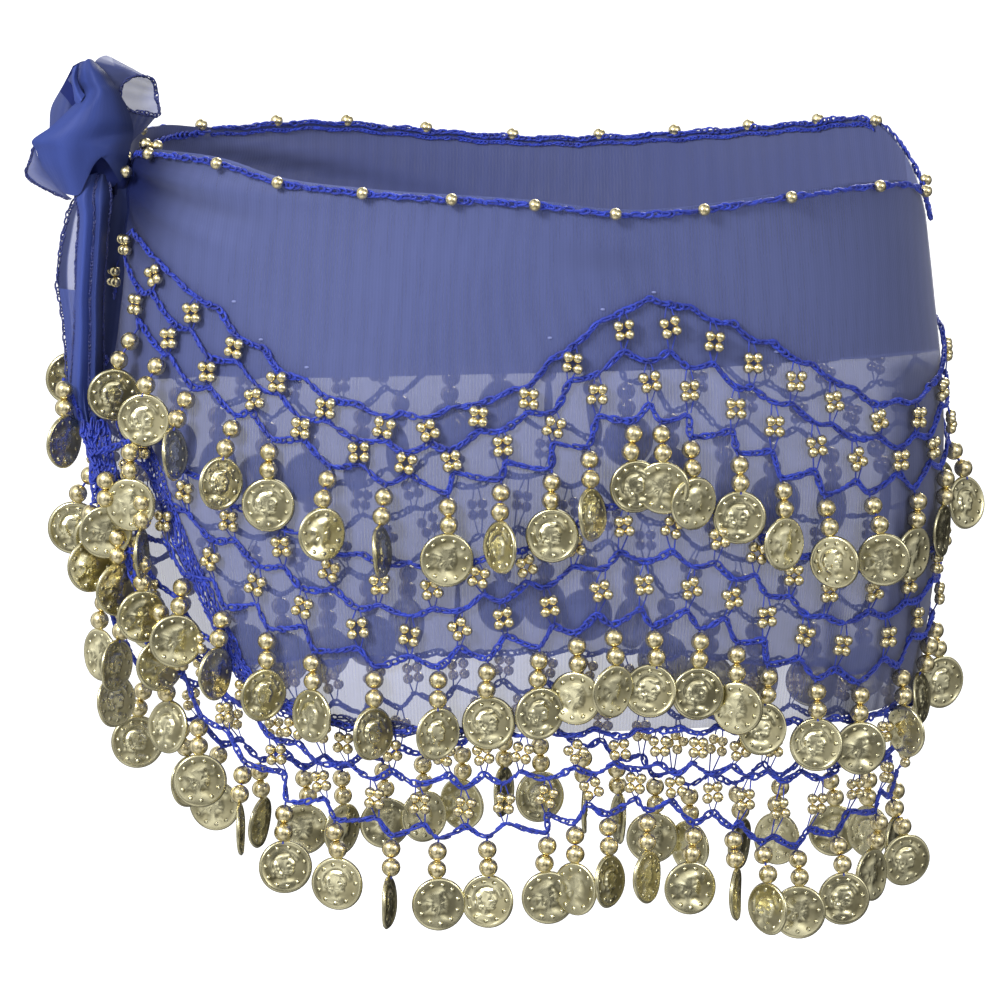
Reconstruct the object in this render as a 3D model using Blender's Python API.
"""A belly dance hip scarf of blue chiffon, as it sits round the hips, filled out and empty.

The scarf is one long strip, closed by a knot and a bow at the left side. Its front and
back carry three rows of crochet net, and each row ends in a chain hung with coins.
The frame: metres, +Z up, the front faces -Y. The origin is the middle of the top opening.
"""
import functools
import math

import bmesh
import bpy
import numpy as np

MM = 0.001

# Driving dimensions of the cloth
CLOTH_WALL = 1.0 * MM
SEAM = 0.3 * MM
CLOTH_PANELS_ROUND = 48     # facets in one full turn of the cloth
LEAST_PANEL = 0.3           # a narrower panel at a seam joins its neighbour
CLOTH_ROWS = (0, 0.07, 0.15, 0.25, 0.38, 0.56, 0.78, 1)     # parts of the way down
PLY_SHARED_ROWS = 3         # rows of the inner ply that lie behind the cloth's own
PLY_GAP = 0.7 * MM
PLY_ABOVE_HEM = 10 * MM
KNOT_ANGLE = 168.0          # degrees from +X towards the front
GIRTH_HALF_WIDTH = 180 * MM
GIRTH_HALF_DEPTH = 123 * MM

# The general hip form: a row for each height
RINGS = {
    "height_mm": (-330, -280, -220, -150, -100, -50, 0, 20),
    "half_width_mm": (149, 155.5, 170, 180, 181, 176.5, 171, 169),
    "half_depth_mm": (103, 108, 117, 124, 124, 119, 114, 112),
}

# The top edge: its height at each angle, going from the knot over the front and the back
TOP_EDGE = {
    "angle_deg": (174, 165, 150, 138, 127, 113, 88, 77, 49, 30, 9, 0,
                  -10, -27, -42, -60, -90, -104, -120, -143, -155, -170, -186),
    "height_mm": (4, 11, 14, 13, 7, 4, 0, -4, 0, 1, -7, -20,
                  -4, 15, 11, 5, 0, 3.5, 8.5, 9.5, 13, 11, 4),
}

# The lower edge of the inner ply, where the cloth turns from dense to sheer
PLY_EDGE = {
    "angle_deg": (174, 137, 93, 60, 37, 12, -10, -30, -60, -90, -137, -186),
    "height_mm": (-80, -79, -73, -72, -72, -75, -82, -90, -98, -101, -101, -92),
}

# The net rows: heights at angles from the knot to the right hip. The back mirrors the front.
NET_ROWS = {
    "angle_deg": (174, 166, 158, 150, 138, 126, 106, 90, 74, 60, 45, 30, 10, -6),
    "border_1": (-16, -20, -29, -38, -58, -72, -91, -76, -42, -55, -77, -94, -84, -66),
    "link_1": (-58, -64, -70, -78, -91, -102, -119, -110, -89, -102, -123, -129, -122, -112),
    "border_2": (-73, -83, -94, -106, -124, -138, -155, -146, -126, -138, -158, -164, -158, -148),
    "link_2": (-98, -112, -130, -148, -167, -181, -196, -186, -176, -183, -205, -208, -196, -190),
    "hem": (-124, -137, -153, -169, -194, -217, -227, -227, -227, -227, -227, -227, -227, -227),
    "link_3": (-160, -172, -186, -204, -232, -255, -271, -268, -259, -267, -280, -274, -266, -262),
}

# Long soft folds in the cloth: where each starts and ends, its rise and its half width.
# Those that reach the hem grow all the way down. The others fade out at both ends.
FOLDS = {
    "from_angle": (170, 168, 166, -182, -180, 32, 20, -24, -38, 118, -112),
    "to_angle": (118, 128, 142, -134, -148, 30, 17, -22, -34, 112, -104),
    "from_height": (8, -4, -16, 6, -10, -120, -110, -105, -120, -150, -140),
    "to_height": (-2, -34, -70, -8, -50, -235, -235, -235, -235, -235, -235),
    "rise_mm": (1.6, 1.9, 1.6, 1.7, 1.6, 1.8, -1.8, 1.8, -1.8, 1.6, 1.7),
    "half_width_mm": (12, 13, 13, 12, 13, 13, 12, 13, 12, 14, 14),
}
HEM_FOLD_REACH = -200       # a fold that ends below this height reaches the hem
FOLD_START = 0.12           # part of a fading fold's full swell that it has at its start

# Driving dimensions of the crochet and the coins
COLUMNS = 42                # coins in one row round the hips
HALVES = 2 * COLUMNS
FRONT_HALVES = (1, 42)      # half columns that the front carries
BACK_HALVES = (43, 84)
SPLIT_HALF = 42.5           # the front's solids end here and the back's begin

# Where the half columns lie on an even scale, from the knot to the right hip. The net draws
# together over the middle of the front, and the back mirrors it.
COLUMN_PLACES = {
    "half": (0, 1, 3, 9, 15, 19, 25, 31, 33, 35, 37, 39, 41, 42),
    "place": (0, 1.2, 3.4, 9.5, 15.4, 18.9, 24.2, 29.1, 30.8, 32.9, 35.2, 37.6, 40.2, 42),
}
NET_MIDDLE = 1.95 * MM      # middle of the net, out from the cloth's face
NET_WALL = 2.0 * MM
CHAIN = 3.4 * MM            # width of a crochet chain
BORDER_WAVE = 3.0 * MM
MIDDLE_WAVE = 2.5 * MM
LINK_WAVE = 3.5 * MM
MIDDLE_CHAIN_PART = 0.47    # place of the middle chain between border and link chain
CLUSTER_HALF = 4.4 * MM     # half the width of a group of four beads
CHAIN_END_HALF = 3.0 * MM
COIN_RADIUS = 11.8 * MM
COIN_DROP = 27.5 * MM       # coin's centre below the chain it hangs on
COIN_WALL = 1.2 * MM
COIN_OUT = (5.1 * MM, 7.0 * MM)     # neighbours lap over each other
BEAD_HALF = 4.0 * MM

# The knot, the bow and the tail at the left side
KNOT_SIZE = (11 * MM, 10 * MM, 14 * MM)
KNOT_HEIGHT = 2 * MM
KNOT_CREASE = 0.9 * MM
KNOT_CREASES = 5
KNOT_GAP = 0.1 * MM
BOW_PLY = 1.0 * MM

# The bow's loops: a row for each station of the ribbon, out from the knot, round and back.
# Both edges and the depth are measured from the knot's middle, the depth towards the front.
BOW_FRONT = {
    "low_right_mm": (-15, -27, -39.5, -38, -26, -14),
    "low_up_mm": (-11, -7, 0, 1.5, -3, -5),
    "high_right_mm": (-3, 2, -6, -9, -2, -2),
    "high_up_mm": (14, 27, 47.5, 46, 30, 15),
    "bulge_mm": (0, 4, 9, 8, 3, 0),
    "depth_mm": (8, 12, 8, 1, 1, 1),
}
BOW_BACK = {
    "low_right_mm": (-4, -9, -12, -13, -8, -4),
    "low_up_mm": (15, 30, 45.5, 44, 29, 15),
    "high_right_mm": (7, 9, 15, 15, 9, 7),
    "high_up_mm": (14, 17, 26, 25, 19, 14),
    "bulge_mm": (0, 3, 10, 10, 4, 0),
    "depth_mm": (-3, -4, -6, -14, -14, -8),
}
BOW_ACROSS = 6
BOW_FRONT_BULGE = (-0.75, 0.5)      # how its plies bulge, right and up
BOW_BACK_BULGE = (0.8, 0.55)

# The tail: a folded strip. A row for each height below the knot's middle.
TAIL = {
    "down_mm": (10, 22, 42, 66, 90, 113),
    "left_mm": (-13, -24, -27, -26.5, -24, -19),
    "fold_mm": (-3, -6, -6, -7, -7.5, -9),
    "open_mm": (3, 6, 8, 7, 6, 4),
}
TAIL_FRONT_SWELL = 0.65     # how far each side bulges, as a part of the open width
TAIL_BACK_SWELL = 0.6
TAIL_DEPTH = 20 * MM        # towards the front from the knot's middle
TAIL_ROOT_DEPTH = 6 * MM
TAIL_COINS = 6
TAIL_CHAIN_START = (-15 * MM, 24 * MM, -117 * MM)    # right, towards the front, up
TAIL_CHAIN_END = (13 * MM, 52 * MM, -196 * MM)
TAIL_CHAIN_HALF = 2.5 * MM
TAIL_ARM = 9.5 * MM
TAIL_COIN_STEP = 1.9 * MM   # each coin lies this much behind the one above it

BLUE = (0.085, 0.105, 0.42)
CROCHET_BLUE = (0.03, 0.07, 0.62)
BRASS = (0.66, 0.56, 0.30)


def clear_scene():
    for old in list(bpy.data.objects):
        bpy.data.objects.remove(old, do_unlink=True)


def finish_material(name, colour, roughness, metallic):
    material = bpy.data.materials.new(name)
    material.use_nodes = True
    shader = material.node_tree.nodes["Principled BSDF"]
    shader.inputs["Base Color"].default_value = (*colour, 1.0)
    shader.inputs["Roughness"].default_value = roughness
    shader.inputs["Metallic"].default_value = metallic
    return material


def smooth_row(x, xs, ys):
    """A smooth curve through the rows of a table, read at x."""
    xs, ys = np.asarray(xs, float), np.asarray(ys, float)
    if xs[0] > xs[-1]:
        xs, ys = xs[::-1], ys[::-1]
    x = min(max(x, xs[0]), xs[-1])
    slopes = np.gradient(ys, xs)
    i = min(int(np.searchsorted(xs, x, side="right")) - 1, len(xs) - 2)
    width = xs[i + 1] - xs[i]
    t = (x - xs[i]) / width
    bend = (1 - t) * slopes[i] * t * (1 - t) - t * slopes[i + 1] * t * (1 - t)
    step = t * t * (3 - 2 * t)
    return float(ys[i] * (1 - step) + ys[i + 1] * step + bend * width)


def angle_table():
    """Angles at even steps of length round the widest ring, from the knot over the front."""
    angles = np.radians(KNOT_ANGLE) - np.linspace(0.0, 2 * math.pi, 2401)
    x = GIRTH_HALF_WIDTH * np.cos(angles)
    y = GIRTH_HALF_DEPTH * np.sin(angles)
    length = np.concatenate(([0.0], np.cumsum(np.hypot(np.diff(x), np.diff(y)))))
    return angles, length


ANGLES, LENGTHS = angle_table()
GIRTH = float(LENGTHS[-1])


def angle_at(turn):
    """The angle in radians at a part of the turn, 0 at the knot and 0.5 at the right hip."""
    return float(np.interp((turn % 1.0) * GIRTH, LENGTHS, ANGLES))


def fold_rise(turn, height):
    """How far the cloth stands out of the plain hip form at a place."""
    rise = 0.0
    angle = math.degrees(angle_at(turn))
    for row in zip(*FOLDS.values()):
        from_angle, to_angle, from_z, to_z, rise_mm, half_width = row
        span = from_z - to_z
        along = min(max((from_z - height / MM) / span, 0.0), 1.0)
        reach = (from_angle - to_angle) * GIRTH / MM / 360
        if abs(reach) > abs(span):
            along = min(max((from_angle - angle) / (from_angle - to_angle), 0.0), 1.0)
        aside = (angle - (from_angle + (to_angle - from_angle) * along)) * GIRTH / MM / 360
        below = height / MM - (from_z + (to_z - from_z) * along)
        fade = along
        if to_z > HEM_FOLD_REACH:
            fade = math.sin(math.pi * (FOLD_START + (1 - FOLD_START) * along))
        rise += rise_mm * MM * fade * math.exp(-(aside ** 2 + below ** 2) / (2 * half_width ** 2))
    return rise


def ring_point(turn, height, out):
    angle = angle_at(turn)
    across = smooth_row(height / MM, RINGS["height_mm"], RINGS["half_width_mm"]) * MM
    deep = smooth_row(height / MM, RINGS["height_mm"], RINGS["half_depth_mm"]) * MM
    normal = np.array((math.cos(angle) / across, -math.sin(angle) / deep, 0.0))
    normal /= np.linalg.norm(normal)
    place = np.array((across * math.cos(angle), -deep * math.sin(angle), height))
    return place + normal * (out + fold_rise(turn, height))


@functools.lru_cache(maxsize=None)
def facet_corner(panel, row, out):
    """A corner of the cloth's facets, moved out."""
    turn = panel / CLOTH_PANELS_ROUND
    top, hem = cloth_top(turn), cloth_hem(turn)
    return ring_point(turn, top + (hem - top) * CLOTH_ROWS[row], out)


def facet_line_point(panel, height, out):
    """A point on one upright line of the cloth's facets, or below the hem on the hip form."""
    turn = panel / CLOTH_PANELS_ROUND
    top, hem = cloth_top(turn), cloth_hem(turn)
    down = (top - height) / (top - hem)
    if not 0 <= down < 1:
        return ring_point(turn, height, out)
    row = int(np.searchsorted(CLOTH_ROWS, down, side="right")) - 1
    part = (down - CLOTH_ROWS[row]) / (CLOTH_ROWS[row + 1] - CLOTH_ROWS[row])
    upper, lower = facet_corner(panel, row, out), facet_corner(panel, row + 1, out)
    return upper * (1 - part) + lower * part


def shell_point(turn, height, out):
    """A point on the cloth's own flat facets, moved out from them."""
    place = turn * CLOTH_PANELS_ROUND
    panel = math.floor(place)
    part = place - panel
    start = facet_line_point(panel, height, out)
    end = facet_line_point(panel + 1, height, out)
    return start * (1 - part) + end * part


def half_turn(half):
    """The part of the turn at a half column. The back mirrors the front over the right hip."""
    near = min(half, HALVES - half)
    place = smooth_row(near, COLUMN_PLACES["half"], COLUMN_PLACES["place"])
    return (place if near == half else HALVES - place) / HALVES


def table_height(table, column, turn):
    return smooth_row(math.degrees(angle_at(turn)), table["angle_deg"], table[column]) * MM


def net_height(column, turn):
    """Height of a net line. The back repeats the front, mirrored over the right hip."""
    turn = turn % 1.0
    return table_height(NET_ROWS, column, min(turn, 1.0 - turn))


def sheet_solid(name, material, points, faces, wall, side=0.0):
    """A sheet of faces with its thickness: side 0 is both ways, -1 is inwards."""
    mesh = bpy.data.meshes.new(name)
    mesh.from_pydata([tuple(map(float, p)) for p in points], [], faces)
    body = bpy.data.objects.new(name, mesh)
    bpy.context.scene.collection.objects.link(body)
    mesh.materials.append(material)
    mesh.shade_smooth()
    mesh.set_sharp_from_angle(angle=math.radians(35))
    thickness = body.modifiers.new("Wall", "SOLIDIFY")
    thickness.thickness = wall
    thickness.offset = side
    thickness.use_quality_normals = True
    return body


def grid_faces(across, down):
    """Faces of a grid whose points run row by row from the top, seen from outside."""
    faces = []
    for row in range(down):
        for col in range(across):
            start = row * (across + 1) + col
            faces.append((start, start + across + 1, start + across + 2, start + 1))
    return faces


def panel_turns(first, last):
    """The cloth's facet lines between two parts of the turn, with both ends."""
    inner = [i / CLOTH_PANELS_ROUND for i in range(CLOTH_PANELS_ROUND + 1)]
    gap = LEAST_PANEL / CLOTH_PANELS_ROUND
    return [first] + [t for t in inner if first + gap < t < last - gap] + [last]


def wall_panel(name, material, first, last, out, row_heights):
    """A stretch of cloth. Each of its rows is a function that gives a height at a turn."""
    turns = panel_turns(first, last)
    points = [shell_point(turn, height(turn), out) for height in row_heights for turn in turns]
    faces = grid_faces(len(turns) - 1, len(row_heights) - 1)
    return sheet_solid(name, material, points, faces, CLOTH_WALL, -1.0)


def cloth_row(part):
    """The height of a row of the cloth's facets, a part of the way from the top to the hem."""
    return lambda turn: cloth_top(turn) + (cloth_hem(turn) - cloth_top(turn)) * part


def cloth_top(turn):
    return table_height(TOP_EDGE, "height_mm", turn)


def cloth_hem(turn):
    return net_height("hem", turn)


def ply_bottom(turn):
    return max(table_height(PLY_EDGE, "height_mm", turn), cloth_hem(turn) + PLY_ABOVE_HEM)


def chain_bottom(turn):
    return cloth_top(turn) - CHAIN


class Layout:
    """A flat layout of crochet: points by name, and the faces between them."""

    def __init__(self):
        self.points = []
        self.faces = []
        self.index = {}

    def point(self, name, place):
        self.index[name] = len(self.points)
        self.points.append(place)

    def face(self, *names):
        self.faces.append(tuple(self.index[n] for n in names))


def net_piece(name, material, halves, border, link, side_parts):
    """A border chain, groups of four beads, a middle chain and the groups below it."""
    lay = Layout()
    first, last = halves

    def put(label, half, aside, height):
        turn = half_turn(half) + aside / GIRTH
        lay.point((label, half), shell_point(turn, height, NET_MIDDLE))

    for half in range(first, last + 1):
        turn = half_turn(half)
        top, low = net_height(border, turn), net_height(link, turn)
        middle = top + (low - top) * MIDDLE_CHAIN_PART
        if half % 2:
            under, over = top - BORDER_WAVE - CHAIN / 2, middle + MIDDLE_WAVE + CHAIN / 2
            put("top", half, 0, top - BORDER_WAVE + CHAIN / 2)
            put("bottom", half, 0, middle + MIDDLE_WAVE - CHAIN / 2)
            for i, part in enumerate(side_parts):
                height = under + (over - under) * part
                put(f"left{i}", half, -CLUSTER_HALF, height)
                put(f"right{i}", half, CLUSTER_HALF, height)
        else:
            chain = middle - MIDDLE_WAVE
            put("top", half, 0, top + BORDER_WAVE + CHAIN / 2)
            put("under", half, 0, top + BORDER_WAVE - CHAIN / 2)
            put("over", half, 0, chain + CHAIN / 2)
            put("neck_left", half, -CHAIN_END_HALF, chain - CHAIN / 2)
            foot = low + LINK_WAVE + CHAIN / 2 + SEAM
            reach = CLUSTER_HALF / GIRTH
            rise = (net_height(link, turn + reach) - net_height(link, turn - reach)) / 2
            put("foot_left", half, -CLUSTER_HALF, foot - rise)
            put("foot_right", half, CLUSTER_HALF, foot + rise)
            put("neck_right", half, CHAIN_END_HALF, chain - CHAIN / 2)
    end = len(side_parts) - 1
    for half in range(first, last + 1):
        follows = half < last
        if half % 2:
            lefts = [(f"left{i}", half) for i in range(end + 1)]
            rights = [(f"right{i}", half) for i in range(end, -1, -1)]
            lay.face(("top", half), *lefts, ("bottom", half), *rights)
            if follows:
                lay.face(("top", half), ("right0", half), ("under", half + 1), ("top", half + 1))
                lay.face((f"right{end}", half), ("bottom", half),
                         ("neck_left", half + 1), ("over", half + 1))
        else:
            lay.face(("over", half), ("neck_left", half), ("foot_left", half),
                     ("foot_right", half), ("neck_right", half))
            if follows:
                lay.face(("top", half), ("under", half), ("left0", half + 1), ("top", half + 1))
                lay.face(("over", half), ("neck_right", half),
                         ("bottom", half + 1), (f"left{end}", half + 1))
    return sheet_solid(name, material, lay.points, lay.faces, NET_WALL)


def coin_outline():
    """Eight corners of a coin with a flat top, from the upper left, counter-clockwise."""
    corners = [math.radians(112.5 + 45 * i) for i in range(8)]
    return [(COIN_RADIUS * math.cos(a), COIN_RADIUS * math.sin(a)) for a in corners]


def add_coin(lay, label, hang, across, surface):
    """Large beads and a coin under the points (top, left) and (right) of a chain."""
    for i, (x, z) in enumerate(coin_outline()):
        lay.point((f"coin{i}", label), surface(hang - COIN_DROP + z) + across * x)
    lay.face(("top", label), ("left", label), ("coin0", label), ("coin7", label), ("right", label))
    lay.face(*[(f"coin{i}", label) for i in range(8)])


def coin_chain(name, material, halves, link):
    """A link chain with a pair of large beads and a coin under each of its low points."""
    lay = Layout()
    first, last = halves
    for half in range(first, last + 1):
        turn = half_turn(half)
        low = net_height(link, turn)
        if half % 2 == 0:
            peak = low + LINK_WAVE
            lay.point(("top", half), shell_point(turn, peak + CHAIN / 2, NET_MIDDLE))
            lay.point(("under", half), shell_point(turn, peak - CHAIN / 2, NET_MIDDLE))
            continue
        valley = low - LINK_WAVE
        lay.point(("top", half), shell_point(turn, valley + CHAIN / 2, NET_MIDDLE))
        for label, aside in (("left", -BEAD_HALF), ("right", BEAD_HALF)):
            place = shell_point(turn + aside / GIRTH, valley - CHAIN / 2, NET_MIDDLE)
            lay.point((label, half), place)
        along = shell_point(turn + BEAD_HALF / GIRTH, valley, 0)
        along = along - shell_point(turn - BEAD_HALF / GIRTH, valley, 0)
        along /= np.linalg.norm(along)
        out = COIN_OUT[(half // 2) % 2]
        add_coin(lay, half, valley, along, lambda height: shell_point(turn, height, out))
    for half in range(first, last):
        if half % 2:
            lay.face(("top", half), ("right", half), ("under", half + 1), ("top", half + 1))
        else:
            lay.face(("top", half), ("under", half), ("left", half + 1), ("top", half + 1))
    return sheet_solid(name, material, lay.points, lay.faces, COIN_WALL)


def knot_middle():
    return ring_point(0.0, KNOT_HEIGHT, KNOT_SIZE[1] + KNOT_GAP)


def from_knot(right, front, up):
    """A place measured from the knot's middle, along the garment's own axes."""
    return knot_middle() + np.array((right, -front, up))


def on_knot(place, out):
    """The place moved along its line to the knot's middle until it is just off its surface."""
    arm = place - knot_middle()
    size = np.array(KNOT_SIZE) + out
    return knot_middle() + arm / np.linalg.norm(arm / size)


def knot(material):
    mesh = bpy.data.meshes.new("knot")
    shape = bmesh.new()
    bmesh.ops.create_uvsphere(shape, u_segments=14, v_segments=8, radius=1.0)
    for vert in shape.verts:
        round_z = math.atan2(vert.co.y, vert.co.x)
        crease = 1 - KNOT_CREASE / KNOT_SIZE[0] * math.cos(KNOT_CREASES * round_z) ** 2
        vert.co = [vert.co[i] * KNOT_SIZE[i] * crease for i in range(3)]
    bmesh.ops.translate(shape, verts=shape.verts, vec=knot_middle())
    shape.to_mesh(mesh)
    shape.free()
    mesh.shade_smooth()
    mesh.materials.append(material)
    body = bpy.data.objects.new("knot", mesh)
    bpy.context.scene.collection.objects.link(body)


def bow_loop(name, material, table, bulge_ways):
    """A ribbon that leaves the knot, turns in a wide fold and comes back to the knot."""
    rows = list(zip(*table.values()))
    points = []
    for station, row in enumerate(rows):
        low_right, low_up, high_right, high_up, bulge, depth = row
        for i in range(BOW_ACROSS + 1):
            part = i / BOW_ACROSS
            swell = bulge * math.sin(math.pi * part)
            right = low_right + (high_right - low_right) * part + swell * bulge_ways[0]
            up = low_up + (high_up - low_up) * part + swell * bulge_ways[1]
            place = from_knot(right * MM, depth * MM, up * MM)
            if station in (0, len(rows) - 1):
                place = on_knot(place, BOW_PLY / 2 + SEAM)
            points.append(place)
    return sheet_solid(name, material, points, grid_faces(BOW_ACROSS, len(rows) - 1), BOW_PLY)


def tail(material):
    """A strip folded along its length, with its fold towards the scarf."""
    points = []
    for station, (down, left, fold, gap) in enumerate(zip(*TAIL.values())):
        middle = (left + fold) / 2
        profile = (
            (left, gap / 2), (middle, gap * TAIL_FRONT_SWELL), (fold, 0),
            (middle, -gap * TAIL_BACK_SWELL), (left, -gap / 2),
        )
        for right, depth in profile:
            place = from_knot(right * MM, TAIL_DEPTH + depth * MM, -down * MM)
            if station == 0:
                place = from_knot(right * MM, TAIL_ROOT_DEPTH + depth * MM, -down * MM)
                place = on_knot(place, CLOTH_WALL / 2 + SEAM)
            points.append(place)
    across = len(profile) - 1
    return sheet_solid("tail", material, points, grid_faces(across, len(TAIL["down_mm"]) - 1), CLOTH_WALL)


def tail_coins(material):
    """A slanting chain under the tail, with coins on both sides that lie behind each other."""
    lay = Layout()
    start, end = (from_knot(*place) for place in (TAIL_CHAIN_START, TAIL_CHAIN_END))
    front = np.array((0.0, -1.0, 0.0))
    across = np.array((1.0, 0.0, 0.0))
    up = np.array((0.0, 0.0, 1.0))
    for i in range(TAIL_COINS):
        middle = start + (end - start) * i / (TAIL_COINS - 1)
        side = 1 if i % 2 else -1
        root = middle + across * side * TAIL_ARM
        level = COIN_OUT[0] + TAIL_COIN_STEP * (TAIL_COINS - 1 - i)

        def surface(height, root=root, level=level):
            return root + front * level + up * (height - root[2])

        for label, aside in (("a", -TAIL_CHAIN_HALF), ("b", TAIL_CHAIN_HALF)):
            lay.point((label + "up", i), middle + across * aside + up * CHAIN)
            lay.point((label + "low", i), middle + across * aside)
        lay.point(("top", i), root + up * CHAIN)
        lay.point(("left", i), root - across * BEAD_HALF)
        lay.point(("right", i), root + across * BEAD_HALF)
        add_coin(lay, i, root[2], across, surface)
        lay.face(("aup", i), ("alow", i), ("blow", i), ("bup", i))
        if side > 0:
            lay.face(("bup", i), ("blow", i), ("left", i), ("top", i))
        else:
            lay.face(("top", i), ("right", i), ("alow", i), ("aup", i))
        if i:
            lay.face(("alow", i - 1), ("aup", i), ("bup", i), ("blow", i - 1))
    return sheet_solid("tail_coins", material, lay.points, lay.faces, COIN_WALL)


def build():
    clear_scene()
    chiffon = finish_material("chiffon", BLUE, 0.6, 0.0)
    crochet = finish_material("crochet", CROCHET_BLUE, 0.7, 0.0)
    brass = finish_material("brass", BRASS, 0.35, 0.9)
    split = SPLIT_HALF / HALVES
    knot_gap = 0.5 / HALVES
    gap = SEAM / 2 / GIRTH
    cloth_rows = [cloth_row(part) for part in CLOTH_ROWS]
    ply_rows = cloth_rows[:PLY_SHARED_ROWS + 1] + [ply_bottom]
    halves = (
        ("front", knot_gap, split - gap, FRONT_HALVES),
        ("back", split + gap, 1 - knot_gap, BACK_HALVES),
    )
    for side, first, last, columns in halves:
        wall_panel(f"cloth_{side}", chiffon, first, last, 0.0, cloth_rows)
        wall_panel(f"ply_{side}", chiffon, first, last, -CLOTH_WALL - PLY_GAP, ply_rows)
        wall_panel(f"edge_{side}", crochet, first, last, NET_MIDDLE, (cloth_top, chain_bottom))
        net_piece(f"net_1_{side}", crochet, columns, "border_1", "link_1", (0.5,))
        net_piece(f"net_2_{side}", crochet, columns, "border_2", "link_2", (0.5,))
        net_piece(f"net_3_{side}", crochet, columns, "hem", "link_3", (0.0, 1.0))
        for row in (1, 2, 3):
            coin_chain(f"coins_{row}_{side}", brass, columns, f"link_{row}")
    knot(chiffon)
    bow_loop("bow_front", chiffon, BOW_FRONT, BOW_FRONT_BULGE)
    bow_loop("bow_back", chiffon, BOW_BACK, BOW_BACK_BULGE)
    tail(chiffon)
    tail_coins(brass)


build()
